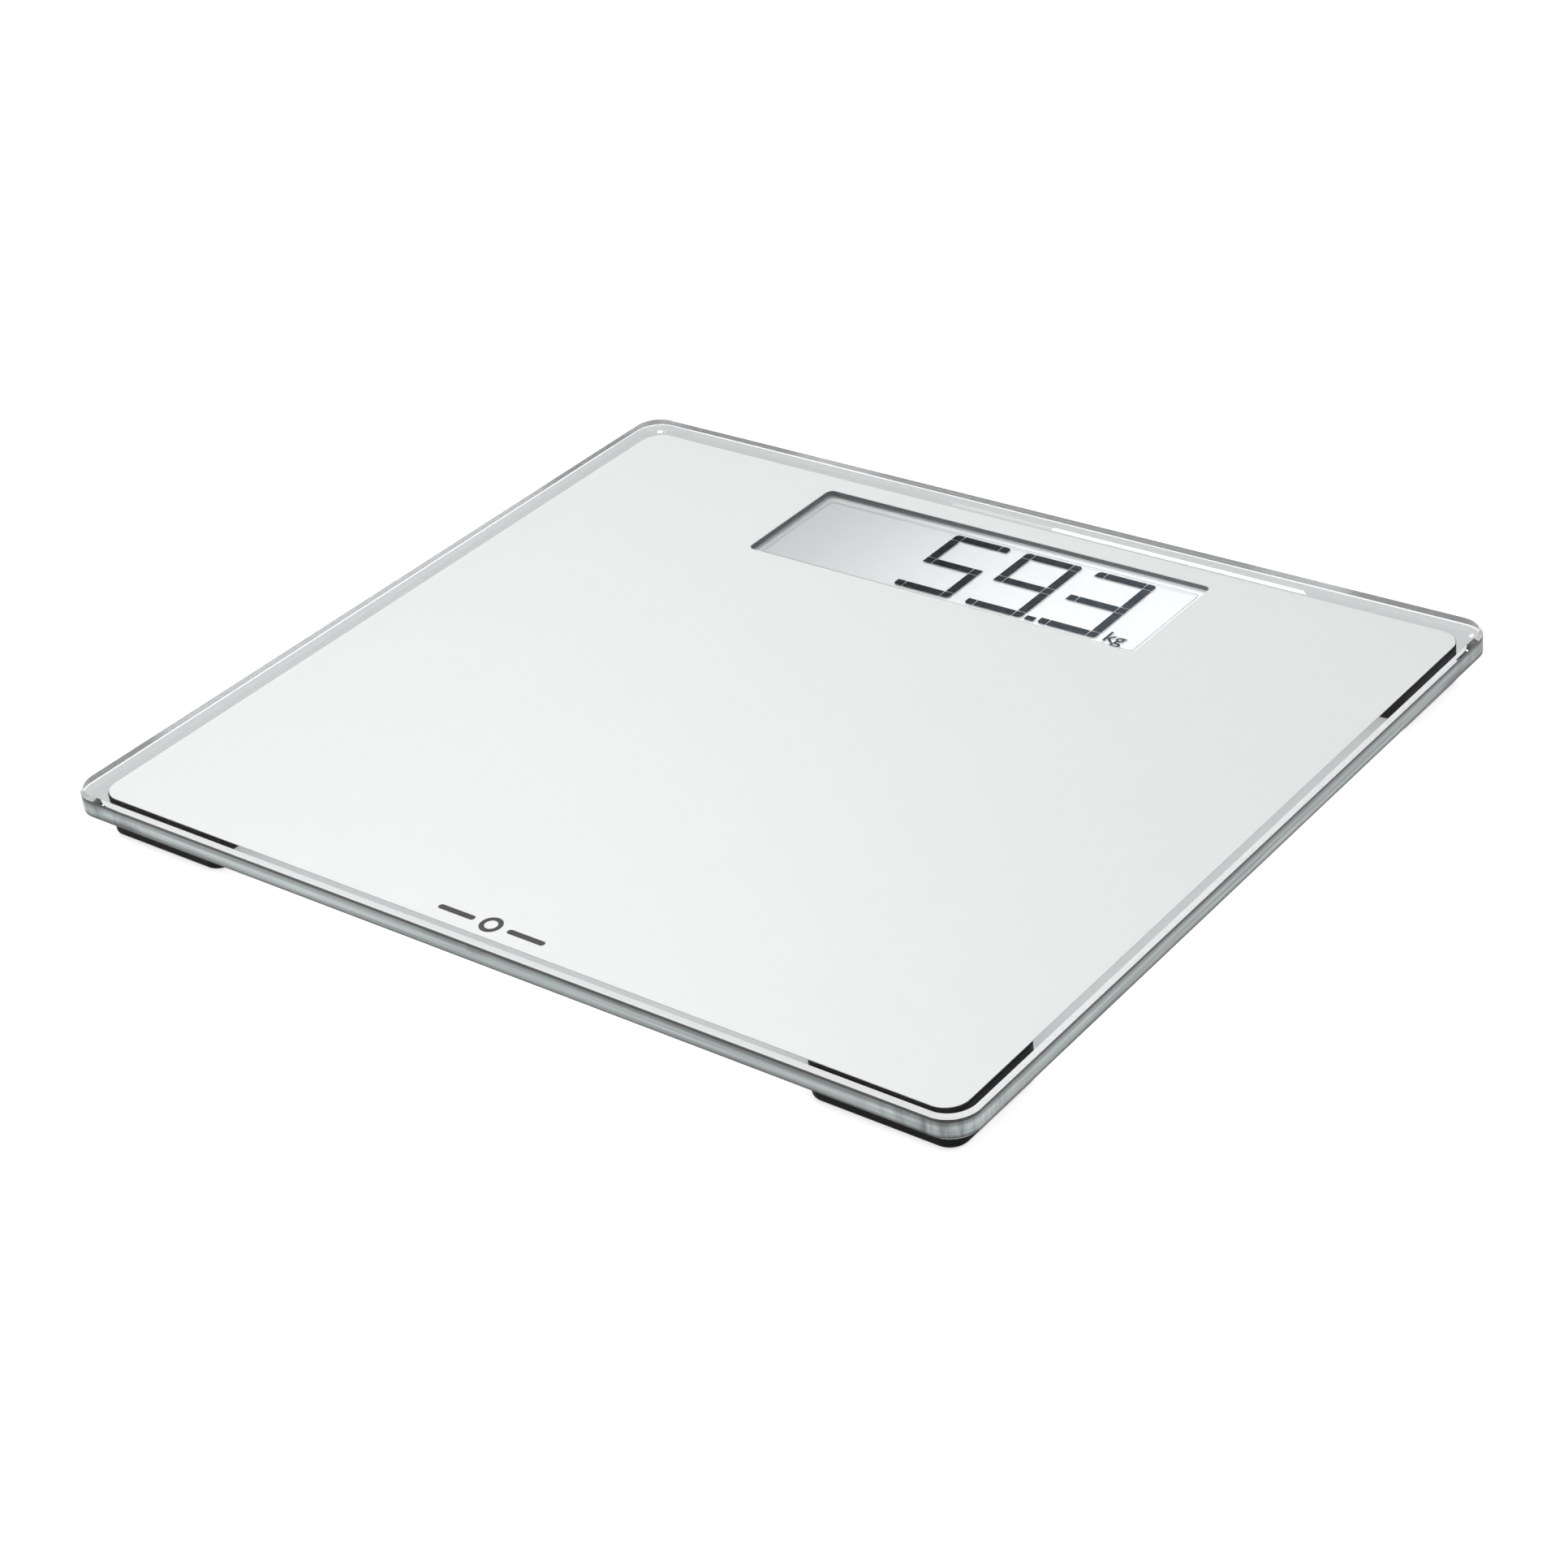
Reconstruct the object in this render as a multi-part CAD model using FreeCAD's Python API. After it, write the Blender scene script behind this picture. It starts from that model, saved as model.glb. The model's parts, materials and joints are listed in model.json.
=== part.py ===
import FreeCAD, Part
import math
import os

# Glass personal scale. Frame: +X to the user's right, +Y away from the user towards the display,
# +Z up. The origin is on the floor under the centre of the platform. All lengths in millimetres.

V = FreeCAD.Vector

# Platform
PLATE_X = 350.0
PLATE_Y = 297.0
GLASS_THICK = 8.0
GLASS_CORNER_R = 10.0
GLASS_TOP_CHAMFER = 1.2
GLASS_LOW_CHAMFER = 0.5
FOOT_REACH = 10.0
GLASS_LOW = FOOT_REACH
GLASS_TOP = GLASS_LOW + GLASS_THICK

# White print on the underside of the glass, with the display window left open
PRINT_THICK = 0.25
PRINT_INSET = 7.0
PRINT_CORNER_R = 7.5
PRINT_LOW = GLASS_LOW - PRINT_THICK
WINDOW_X = 159.0
WINDOW_Y = 48.0
WINDOW_CORNER_R = 2.5
WINDOW_MID_Y = 109.0

# Display stack, from the circuit board upwards
BOARD_TOP = 6.1
BOARD_THICK = 0.8
REFLECTOR_THICK = 0.3
CELL_GLASS_THICK = 0.7
POLARISER_THICK = 0.2
LCD_X = 166.0
LCD_Y = 54.0
LCD_LEDGE = 2.6
BEZEL_X = 172.0
BEZEL_Y = 56.4

# Electronics housing
HOUSING_X = 200.0
HOUSING_FRONT = 52.0
HOUSING_BACK = 139.0
HOUSING_LOW = 2.4
HOUSING_FLOOR = 1.0
HOUSING_WALL = 1.6
HOUSING_CORNER_R = 6.0
TAPE_THICK = 0.5
HOUSING_RIM = PRINT_LOW - TAPE_THICK
FLOOR_TOP = HOUSING_LOW + HOUSING_FLOOR
BOARD_HALF_X = 92.0
BOARD_FRONT = 56.0
BOARD_MID = 81.5
BOARD_BACK = 136.0
BOARD_TONGUE_X = -34.0
BOARD_SCREW_SPOTS = [(-88.5, 131.0), (88.5, 131.0), (88.5, 60.0), (-28.0, 60.0)]

# Battery bay, with a 20 mm by 3.2 mm coin cell
BATTERY_X = -60.0
BATTERY_Y = 67.0
BATTERY_R = 10.0
BATTERY_THICK = 3.2
BATTERY_LOW = 3.7
HOLDER_X = 44.0
HOLDER_FRONT_Y = 55.0
HOLDER_BACK_Y = 79.5
HOLDER_ROOF = 1.2
HOLDER_LEG = 3.0
CLIP_SLOT_X = 3.0
CONTACT_X = 4.0
CONTACT_THICK = 0.3
SIDE_CONTACT_X = 2.4
CHIP_SIZE = 9.0
CHIP_HEIGHT = 1.1
CHIP_MID_X = 30.0
CHIP_MID_Y = 69.0
BAY_X = 32.0
BAY_BACK = 80.5
COVER_GAP = 0.3
COVER_TRAVEL = 6.0
TAB_LENGTH = 3.0
TAB_REACH = 1.2
TAB_THICK = 0.6
TAB_CLEAR = 0.1

# Unit button and its switch
BUTTON_X = 55.0
BUTTON_Y = 67.0
BUTTON_R = 3.7
BUTTON_HOLE_R = 4.0
BUTTON_TRAVEL = 0.4

# Feet
FOOT_X = 52.0
FOOT_Y = 42.0
FOOT_INSET_X = 7.4
FOOT_INSET_Y = 7.0
FOOT_CORNER_R = 6.0
FOOT_LOW_FILLET = 1.2
FOOT_TRAVEL = 0.4
FOOT_TAPE_THICK = 0.2
MOUNT_TOP = PRINT_LOW - FOOT_TAPE_THICK
MOUNT_THICK = 0.8
MOUNT_LOW = MOUNT_TOP - MOUNT_THICK
CAP_TOP = 8.15
CAP_LOW = 0.3
CAP_WALL = 1.6
CAP_FLOOR = 1.6
SKIRT_GAP = 0.6
SKIRT_WALL = 1.4
SKIRT_LOW = 4.4
PAD_X = 40.0
PAD_Y = 30.0
PAD_THICK = 1.2
PAD_CORNER_R = 4.0
PAD_GAP = 0.1

# Load cells
CELL_X = 34.0
CELL_Y = 28.0
CELL_THICK = 1.2
CELL_LOW = 6.6
CELL_TOP = CELL_LOW + CELL_THICK
TONGUE_X = 12.0
TONGUE_SLOT = 2.0
TONGUE_REACH = 9.0
CELL_SCREW_SPOTS = [(-12.5, 9.5), (12.5, -9.5)]
SCREW_R = 1.0
SCREW_HEAD_R = 1.9
SCREW_HEAD_THICK = 0.6
GAUGE_X = 8.0
GAUGE_Y = 5.0
GAUGE_THICK = 0.4

# Sensor cables
CABLE_R = 0.8
CABLE_Z = 8.7
CABLE_END_Z = BOARD_TOP + CABLE_R + 0.35
INLET_FRONT_X = 22.0
INLET_SIDE_Y = 64.3
NOTCH_X = 3.0
NOTCH_LOW = 7.2
CLIP_X = 3.4
CLIP_Y = 6.0
CLIP_LOW = 7.5
CLIP_BASE_X = 10.0
CLIP_BASE_THICK = 0.2

# Each foot: name, side in X, side in Y
FEET = [
    ("front_left", -1, -1),
    ("front_right", 1, -1),
    ("back_left", -1, 1),
    ("back_right", 1, 1),
]
FOOT_MID_X = PLATE_X / 2 - FOOT_INSET_X - FOOT_X / 2
FOOT_MID_Y = PLATE_Y / 2 - FOOT_INSET_Y - FOOT_Y / 2

os.makedirs("parts", exist_ok=True)


def export(name, shape):
    """Writes one node."""
    if not shape.isValid():
        print("not valid:", name)
    shape.exportStep("parts/" + name + ".step")
    print(name, len(shape.Solids), round(shape.Volume, 2))


def block(x0, x1, y0, y1, z0, z1):
    """A box between two corners."""
    return Part.makeBox(x1 - x0, y1 - y0, z1 - z0, V(x0, y0, z0))


def rod(x, y, z0, z1, radius):
    """An upright cylinder."""
    return Part.makeCylinder(radius, z1 - z0, V(x, y, z0), V(0, 0, 1))


def upright_edges(shape):
    """The edges that run along Z."""
    found = []
    for edge in shape.Edges:
        ends = [v.Point for v in edge.Vertexes]
        if len(ends) == 2 and ends[0].sub(ends[1]).cross(V(0, 0, 1)).Length < 1e-6:
            found.append(edge)
    return found


def edges_at(shape, z):
    """The edges that lie in the level plane at z."""
    found = []
    for edge in shape.Edges:
        if abs(edge.BoundBox.ZMin - z) < 1e-6 and abs(edge.BoundBox.ZMax - z) < 1e-6:
            found.append(edge)
    return found


def slab(mid_x, mid_y, size_x, size_y, z0, z1, radius):
    """A plate with rounded upright corners."""
    body = block(mid_x - size_x / 2, mid_x + size_x / 2, mid_y - size_y / 2, mid_y + size_y / 2, z0, z1)
    return body.makeFillet(radius, upright_edges(body))


def moved(shape, x, y, z=0.0):
    """A copy of a shape at another place."""
    copy = shape.copy()
    copy.translate(V(x, y, z))
    return copy


def glass_platform():
    body = slab(0, 0, PLATE_X, PLATE_Y, GLASS_LOW, GLASS_TOP, GLASS_CORNER_R)
    body = body.makeChamfer(GLASS_TOP_CHAMFER, edges_at(body, GLASS_TOP))
    return body.makeChamfer(GLASS_LOW_CHAMFER, edges_at(body, GLASS_LOW))


def backing_print():
    size_x = PLATE_X - 2 * PRINT_INSET
    size_y = PLATE_Y - 2 * PRINT_INSET
    sheet = slab(0, 0, size_x, size_y, PRINT_LOW, GLASS_LOW, PRINT_CORNER_R)
    window = slab(0, WINDOW_MID_Y, WINDOW_X, WINDOW_Y, PRINT_LOW - 1, GLASS_LOW + 1, WINDOW_CORNER_R)
    return sheet.cut(window)


def display_stack():
    """The layers of the display, in order from the board up to the glass."""
    front = WINDOW_MID_Y - LCD_Y / 2
    back = WINDOW_MID_Y + LCD_Y / 2
    half = LCD_X / 2
    z = BOARD_TOP
    reflector = block(-half, half, front + LCD_LEDGE, back, z, z + REFLECTOR_THICK)
    z += REFLECTOR_THICK
    rear_glass = block(-half, half, front + LCD_LEDGE, back, z, z + CELL_GLASS_THICK)
    z += CELL_GLASS_THICK
    strip = block(-half + 3, half - 3, front + 0.3, front + LCD_LEDGE - 0.5, BOARD_TOP, z)
    front_glass = block(-half, half, front, back, z, z + CELL_GLASS_THICK)
    z += CELL_GLASS_THICK
    polariser = block(-half + 1, half - 1, front + 1, back - 1, z, z + POLARISER_THICK)
    z += POLARISER_THICK
    bezel = slab(0, WINDOW_MID_Y, BEZEL_X, BEZEL_Y, z, PRINT_LOW, 2.0)
    opening = slab(0, WINDOW_MID_Y, WINDOW_X + 0.6, WINDOW_Y + 0.6, z - 1, PRINT_LOW + 1, WINDOW_CORNER_R)
    export("lcd_reflector", reflector)
    export("lcd_rear_glass", rear_glass)
    export("lcd_connector_strip", strip)
    export("lcd_front_glass", front_glass)
    export("lcd_polariser", polariser)
    export("display_bezel", bezel.cut(opening))


def circuit_board():
    low = BOARD_TOP - BOARD_THICK
    board = block(-BOARD_HALF_X, BOARD_HALF_X, BOARD_MID, BOARD_BACK, low, BOARD_TOP)
    board = board.fuse(block(BOARD_TONGUE_X, BOARD_HALF_X, BOARD_FRONT, BOARD_MID, low, BOARD_TOP))
    for x, y in BOARD_SCREW_SPOTS:
        board = board.cut(rod(x, y, low - 1, BOARD_TOP + 1, SCREW_R))
    return board.removeSplitter()


def board_screws():
    screws = []
    for x, y in BOARD_SCREW_SPOTS:
        head = rod(x, y, BOARD_TOP, BOARD_TOP + SCREW_HEAD_THICK, SCREW_HEAD_R)
        screws.append(head.fuse(rod(x, y, FLOOR_TOP + 0.3, BOARD_TOP, SCREW_R)).removeSplitter())
    return Part.makeCompound(screws)


def control_chip():
    """The square plastic body of the controller."""
    half = CHIP_SIZE / 2
    top = BOARD_TOP + CHIP_HEIGHT
    body = block(CHIP_MID_X - half, CHIP_MID_X + half, CHIP_MID_Y - half, CHIP_MID_Y + half, BOARD_TOP, top)
    return body.makeChamfer(0.3, edges_at(body, top))


def board_components():
    """Capacitors and resistors in a row, and the can of the clock crystal."""
    count = 8
    pitch = 6.0
    pieces = []
    for i in range(count):
        x = -20.0 + i * pitch
        pieces.append(block(x, x + 2.0, 75.5, 76.8, BOARD_TOP, BOARD_TOP + 0.8))
    pieces.append(Part.makeCylinder(1.2, 6.0, V(10, 69, BOARD_TOP + 1.2), V(1, 0, 0)))
    return Part.makeCompound(pieces)


def unit_switch():
    low = FLOOR_TOP + 1.0
    high = BOARD_TOP - BOARD_THICK
    body = block(BUTTON_X - 3, BUTTON_X + 3, BUTTON_Y - 3, BUTTON_Y + 3, low + 0.3, high)
    return body.fuse(rod(BUTTON_X, BUTTON_Y, low, low + 0.3, 1.6)).removeSplitter()


def unit_button():
    """A round key with a flange that stays above the housing's floor."""
    head = rod(BUTTON_X, BUTTON_Y, HOUSING_LOW + 0.1, FLOOR_TOP + TAB_CLEAR, BUTTON_R)
    head = head.makeFillet(0.3, edges_at(head, HOUSING_LOW + 0.1))
    flange = rod(BUTTON_X, BUTTON_Y, FLOOR_TOP + TAB_CLEAR, FLOOR_TOP + 0.5, BUTTON_HOLE_R + 0.9)
    return head.fuse(flange).removeSplitter()


def tab_spots():
    """The side and the near end of each tab of the battery cover."""
    spots = []
    for side in (-1, 1):
        for y in (BATTERY_Y - 3.0, BAY_BACK - 4.0):
            spots.append((side, y))
    return spots


def tab_box(side, y, length, reach, z0, z1):
    """A block that reaches out sideways over the edge of the battery opening."""
    inner = BAY_X / 2 - 1.5
    outer = BAY_X / 2 + reach
    x0 = BATTERY_X + min(side * inner, side * outer)
    x1 = BATTERY_X + max(side * inner, side * outer)
    return block(x0, x1, y, y + length, z0, z1)


def battery_cover():
    half = BAY_X / 2 - COVER_GAP
    back = BAY_BACK - COVER_GAP
    cover = block(BATTERY_X - half, BATTERY_X + half, HOUSING_FRONT, back, HOUSING_LOW, FLOOR_TOP)
    grips = 5
    for i in range(grips):
        y = HOUSING_FRONT + 4.0 + i * 1.6
        cover = cover.cut(block(BATTERY_X - 7, BATTERY_X + 7, y, y + 0.8, HOUSING_LOW - 1, HOUSING_LOW + 0.35))
    for side, y in tab_spots():
        riser_in = BAY_X / 2 - 1.5
        riser_out = half
        x0 = BATTERY_X + min(side * riser_in, side * riser_out)
        x1 = BATTERY_X + max(side * riser_in, side * riser_out)
        low = FLOOR_TOP + TAB_CLEAR
        cover = cover.fuse(block(x0, x1, y, y + TAB_LENGTH, FLOOR_TOP - 0.2, low))
        cover = cover.fuse(tab_box(side, y, TAB_LENGTH, TAB_REACH, low, low + TAB_THICK))
    return cover.removeSplitter()


def electronics_housing():
    mid_y = (HOUSING_FRONT + HOUSING_BACK) / 2
    size_y = HOUSING_BACK - HOUSING_FRONT
    shell = slab(0, mid_y, HOUSING_X, size_y, HOUSING_LOW, HOUSING_RIM, HOUSING_CORNER_R)
    shell = shell.makeChamfer(0.6, edges_at(shell, HOUSING_LOW))
    inside_x = HOUSING_X - 2 * HOUSING_WALL
    inside_y = size_y - 2 * HOUSING_WALL
    inside_r = HOUSING_CORNER_R - HOUSING_WALL
    shell = shell.cut(slab(0, mid_y, inside_x, inside_y, FLOOR_TOP, HOUSING_RIM + 1, inside_r))
    bay_x0 = BATTERY_X - BAY_X / 2
    bay_x1 = BATTERY_X + BAY_X / 2
    cut_top = FLOOR_TOP + COVER_GAP
    shell = shell.cut(block(bay_x0, bay_x1, HOUSING_FRONT - 1, BAY_BACK, HOUSING_LOW - 1, cut_top))
    for side, y in tab_spots():
        notch_y = y - COVER_TRAVEL - 0.3
        notch = tab_box(side, notch_y, TAB_LENGTH + 0.6, TAB_REACH + 0.3, HOUSING_LOW - 1, cut_top)
        shell = shell.cut(notch)
    shell = shell.cut(rod(BUTTON_X, BUTTON_Y, HOUSING_LOW - 1, FLOOR_TOP + 1, BUTTON_HOLE_R))
    for x, y in BOARD_SCREW_SPOTS:
        shell = shell.fuse(rod(x, y, FLOOR_TOP - 0.5, BOARD_TOP - BOARD_THICK, 2.4))
        shell = shell.cut(rod(x, y, FLOOR_TOP + 0.3, BOARD_TOP, SCREW_R))
    for x, y, turned in CABLE_INLETS:
        half = NOTCH_X / 2
        if turned:
            shell = shell.cut(block(x - 5, x + 5, y - half, y + half, NOTCH_LOW, HOUSING_RIM + 1))
        else:
            shell = shell.cut(block(x - half, x + half, y - 5, y + 5, NOTCH_LOW, HOUSING_RIM + 1))
    return shell.removeSplitter()


def housing_tape():
    mid_y = (HOUSING_FRONT + HOUSING_BACK) / 2
    size_y = HOUSING_BACK - HOUSING_FRONT
    tape = slab(0, mid_y, HOUSING_X - 0.4, size_y - 0.4, HOUSING_RIM, PRINT_LOW, HOUSING_CORNER_R - 0.2)
    inside_x = HOUSING_X - 2 * HOUSING_WALL
    inside_y = size_y - 2 * HOUSING_WALL
    inside = slab(0, mid_y, inside_x, inside_y, HOUSING_RIM - 1, PRINT_LOW + 1, HOUSING_CORNER_R - HOUSING_WALL)
    tape = tape.cut(inside)
    for x, y, turned in CABLE_INLETS:
        half = NOTCH_X / 2
        if turned:
            tape = tape.cut(block(x - 5, x + 5, y - half, y + half, HOUSING_RIM - 1, PRINT_LOW + 1))
        else:
            tape = tape.cut(block(x - half, x + half, y - 5, y + 5, HOUSING_RIM - 1, PRINT_LOW + 1))
    return tape


def battery_bay():
    """The holder, the coin cell and its two contacts."""
    roof_low = BATTERY_LOW + BATTERY_THICK + 0.5
    roof_top = roof_low + HOLDER_ROOF
    low = FLOOR_TOP + 1.0
    half = HOLDER_X / 2
    holder = block(BATTERY_X - half, BATTERY_X + half, HOLDER_FRONT_Y, HOLDER_BACK_Y, low, roof_top)
    holder = holder.makeChamfer(0.5, edges_at(holder, roof_top))
    holder = holder.cut(rod(BATTERY_X, BATTERY_Y, low - 1, roof_low, BATTERY_R + 0.2))
    slot = CLIP_SLOT_X / 2
    front = HOLDER_FRONT_Y
    holder = holder.cut(block(BATTERY_X - slot, BATTERY_X + slot, front - 1, front + 2, low - 1, roof_low))
    for side in (-1, 1):
        x0 = BATTERY_X + min(side * (half - HOLDER_LEG), side * half)
        leg = block(x0, x0 + HOLDER_LEG, HOLDER_FRONT_Y, HOLDER_BACK_Y, FLOOR_TOP, low + 0.2)
        holder = holder.fuse(leg)
    cell = rod(BATTERY_X, BATTERY_Y, BATTERY_LOW, BATTERY_LOW + BATTERY_THICK, BATTERY_R)
    cell = cell.makeChamfer(0.3, edges_at(cell, BATTERY_LOW))
    strip = CONTACT_X / 2
    strip_low = roof_low - CONTACT_THICK
    spring = block(BATTERY_X - strip, BATTERY_X + strip, 61.0, 76.0, strip_low, roof_low)
    spring = spring.fuse(rod(BATTERY_X, BATTERY_Y, BATTERY_LOW + BATTERY_THICK, strip_low, 1.5))
    tab = SIDE_CONTACT_X / 2
    tab_y = HOLDER_FRONT_Y + 0.2
    clip = block(BATTERY_X - tab, BATTERY_X + tab, tab_y, tab_y + 0.4, BATTERY_LOW + 1, roof_low)
    clip = clip.fuse(block(BATTERY_X - tab, BATTERY_X + tab, tab_y, tab_y + 1.6, strip_low, roof_low))
    export("battery_holder", holder.removeSplitter())
    export("battery", cell)
    export("battery_contact_spring", spring.removeSplitter())
    export("battery_contact_clip", clip.removeSplitter())


def foot_mount(side_y):
    """The fixed half of a foot, glued to the glass: a plate, a skirt, posts for the load cell."""
    skirt_x = FOOT_X - 2 * CAP_WALL - 2 * SKIRT_GAP
    skirt_y = FOOT_Y - 2 * CAP_WALL - 2 * SKIRT_GAP
    plate = slab(0, 0, FOOT_X, FOOT_Y, MOUNT_LOW, MOUNT_TOP, FOOT_CORNER_R)
    skirt = slab(0, 0, skirt_x, skirt_y, SKIRT_LOW, MOUNT_LOW + 0.2, 4.0)
    hollow_x = skirt_x - 2 * SKIRT_WALL
    hollow_y = skirt_y - 2 * SKIRT_WALL
    skirt = skirt.cut(slab(0, 0, hollow_x, hollow_y, SKIRT_LOW - 1, MOUNT_LOW, 2.6))
    mount = plate.fuse(skirt)
    for side in (-1, 1):
        x0 = min(side * (skirt_x / 2 - 0.5), side * (skirt_x / 2 + SKIRT_GAP + 0.5))
        mount = mount.fuse(block(x0, x0 + SKIRT_GAP + 1.0, -3.0, 3.0, 5.0, 5.7))
    for x, y in CELL_SCREW_SPOTS:
        mount = mount.fuse(rod(x, y, CELL_TOP, MOUNT_LOW + 0.2, 2.6))
        mount = mount.cut(rod(x, y, CELL_TOP - 1, MOUNT_TOP - 0.3, SCREW_R))
    half = NOTCH_X / 2
    y0 = min(-side_y * 7.0, -side_y * (FOOT_Y / 2 + 1))
    slot = block(-half, half, y0, y0 + FOOT_Y / 2 - 6.0, NOTCH_LOW, MOUNT_TOP + 1)
    return mount.cut(slot).removeSplitter()


def foot_cap(side_y):
    """The moving half of a foot: a cup with a boss that presses on the load cell."""
    cup = slab(0, 0, FOOT_X, FOOT_Y, CAP_LOW, CAP_TOP, FOOT_CORNER_R)
    cup = cup.makeFillet(FOOT_LOW_FILLET, edges_at(cup, CAP_LOW))
    inside_x = FOOT_X - 2 * CAP_WALL
    inside_y = FOOT_Y - 2 * CAP_WALL
    floor_top = CAP_LOW + CAP_FLOOR
    cup = cup.cut(slab(0, 0, inside_x, inside_y, floor_top, CAP_TOP + 1, FOOT_CORNER_R - CAP_WALL))
    recess_x = PAD_X + 2 * PAD_GAP
    recess_y = PAD_Y + 2 * PAD_GAP
    cup = cup.cut(slab(0, 0, recess_x, recess_y, CAP_LOW - 1, PAD_THICK, PAD_CORNER_R))
    cup = cup.fuse(rod(0, 0, floor_top - 0.3, CELL_LOW - FOOT_TRAVEL - 0.1, 3.0))
    for side in (-1, 1):
        x0 = min(side * (inside_x / 2 - 0.2), side * (inside_x / 2 + 0.9))
        cup = cup.cut(block(x0, x0 + 1.1, -3.4, 3.4, 4.2, 6.0))
    half = NOTCH_X / 2 + 0.4
    y0 = min(-side_y * (FOOT_Y / 2 - 4), -side_y * (FOOT_Y / 2 + 1))
    cup = cup.cut(block(-half, half, y0, y0 + 5, CABLE_Z - CABLE_R - FOOT_TRAVEL - 0.4, CAP_TOP + 1))
    return cup.removeSplitter()


def foot_pad():
    pad = slab(0, 0, PAD_X, PAD_Y, 0, PAD_THICK, PAD_CORNER_R)
    return pad.makeFillet(0.25, edges_at(pad, 0))


def load_cell():
    """A spring steel plate with a tongue cut free on three sides."""
    plate = slab(0, 0, CELL_X, CELL_Y, CELL_LOW, CELL_TOP, 2.0)
    inner = TONGUE_X / 2
    outer = inner + TONGUE_SLOT
    for side in (-1, 1):
        x0 = min(side * inner, side * outer)
        plate = plate.cut(block(x0, x0 + TONGUE_SLOT, -TONGUE_REACH, TONGUE_REACH, CELL_LOW - 1, CELL_TOP + 1))
    end = block(-outer, outer, TONGUE_REACH - TONGUE_SLOT, TONGUE_REACH, CELL_LOW - 1, CELL_TOP + 1)
    plate = plate.cut(end)
    for x, y in CELL_SCREW_SPOTS:
        plate = plate.cut(rod(x, y, CELL_LOW - 1, CELL_TOP + 1, SCREW_R + 0.1))
    return plate


def cell_screws():
    screws = []
    for x, y in CELL_SCREW_SPOTS:
        head = rod(x, y, CELL_LOW - SCREW_HEAD_THICK, CELL_LOW, SCREW_HEAD_R)
        screws.append(head.fuse(rod(x, y, CELL_LOW, MOUNT_TOP - 0.3, SCREW_R)).removeSplitter())
    return screws


def strain_gauge():
    gauge = block(-GAUGE_X / 2, GAUGE_X / 2, -5.5, -5.5 + GAUGE_Y, CELL_TOP, CELL_TOP + GAUGE_THICK)
    return gauge.makeChamfer(0.15, edges_at(gauge, CELL_TOP + GAUGE_THICK))


def rounded_path(points):
    """Straight runs joined by tangent arcs, each as large as its two runs allow."""
    edges = []
    start = points[0]
    for i in range(1, len(points) - 1):
        corner = points[i]
        to_last = points[i - 1].sub(corner)
        to_next = points[i + 1].sub(corner)
        room = 0.45 * min(to_last.Length, to_next.Length)
        turn = math.pi - to_last.getAngle(to_next)
        print("  cable radius", round(room / math.tan(turn / 2), 1))
        to_last.normalize()
        to_next.normalize()
        first = corner.add(to_last * room)
        last = corner.add(to_next * room)
        inward = to_last.add(to_next)
        inward.normalize()
        radius = room / math.tan(turn / 2)
        middle = corner.add(inward * (radius / math.cos(turn / 2) - radius))
        edges.append(Part.LineSegment(start, first).toShape())
        edges.append(Part.Arc(first, middle, last).toShape())
        start = last
    edges.append(Part.LineSegment(start, points[-1]).toShape())
    return Part.Wire(edges)


def cable(points):
    """A round cable along a route, with its volume compared with its section times its length."""
    path = rounded_path(points)
    ahead = points[1].sub(points[0])
    ring = Part.Wire([Part.makeCircle(CABLE_R, points[0], ahead)])
    tube = path.makePipeShell([ring], True, False)
    print("  volume ratio", round(tube.Volume / (math.pi * CABLE_R ** 2 * path.Length), 4))
    return tube


def cable_route(side_x, side_y):
    """From the load cell, out of the foot's inner side and along the glass into the housing."""
    x = side_x * FOOT_MID_X
    y = side_y * FOOT_MID_Y
    if side_y < 0:
        flat = [
            (x, y + 8),
            (x, y + 32),
            (x * 0.93, -54),
            (x * 0.72, -18),
            (x * 0.42, 12),
            (side_x * 26, 32),
            (side_x * INLET_FRONT_X, 46),
            (side_x * INLET_FRONT_X, 58),
        ]
        end = (side_x * INLET_FRONT_X, 63)
    else:
        flat = [
            (x, y - 8),
            (x, y - 28),
            (x - side_x * 3, y - 42),
            (x - side_x * 14, 69),
            (side_x * 112, INLET_SIDE_Y),
            (side_x * 96.5, INLET_SIDE_Y + 0.3),
            (side_x * 89, 72),
        ]
        end = (side_x * 88.5, 86)
    points = [V(px, py, CABLE_Z) for px, py in flat]
    points.append(V(end[0], end[1], CABLE_END_Z))
    return points


def cable_clips():
    """Stick-on clips that hold the cables to the underside of the glass."""
    clips = []
    for name, side_x, side_y in FEET:
        route = cable_route(side_x, side_y)
        spans = [(1, 2), (3, 4)] if side_y < 0 else [(3, 4)]
        for a, b in spans:
            middle = (route[a] + route[b]) * 0.5
            along = route[b].sub(route[a])
            angle = math.degrees(math.atan2(along.y, along.x)) - 90
            clip = block(-CLIP_X / 2, CLIP_X / 2, -CLIP_Y / 2, CLIP_Y / 2, CLIP_LOW, PRINT_LOW)
            base = CLIP_BASE_X / 2
            clip = clip.fuse(block(-base, base, -CLIP_Y / 2, CLIP_Y / 2, PRINT_LOW - CLIP_BASE_THICK, PRINT_LOW))
            bore = Part.makeCylinder(CABLE_R + 0.05, CLIP_Y + 2, V(0, -CLIP_Y / 2 - 1, CABLE_Z), V(0, 1, 0))
            clip = clip.cut(bore).removeSplitter()
            clip.rotate(V(0, 0, 0), V(0, 0, 1), angle)
            clips.append(moved(clip, middle.x, middle.y))
    return Part.makeCompound(clips)


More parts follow.
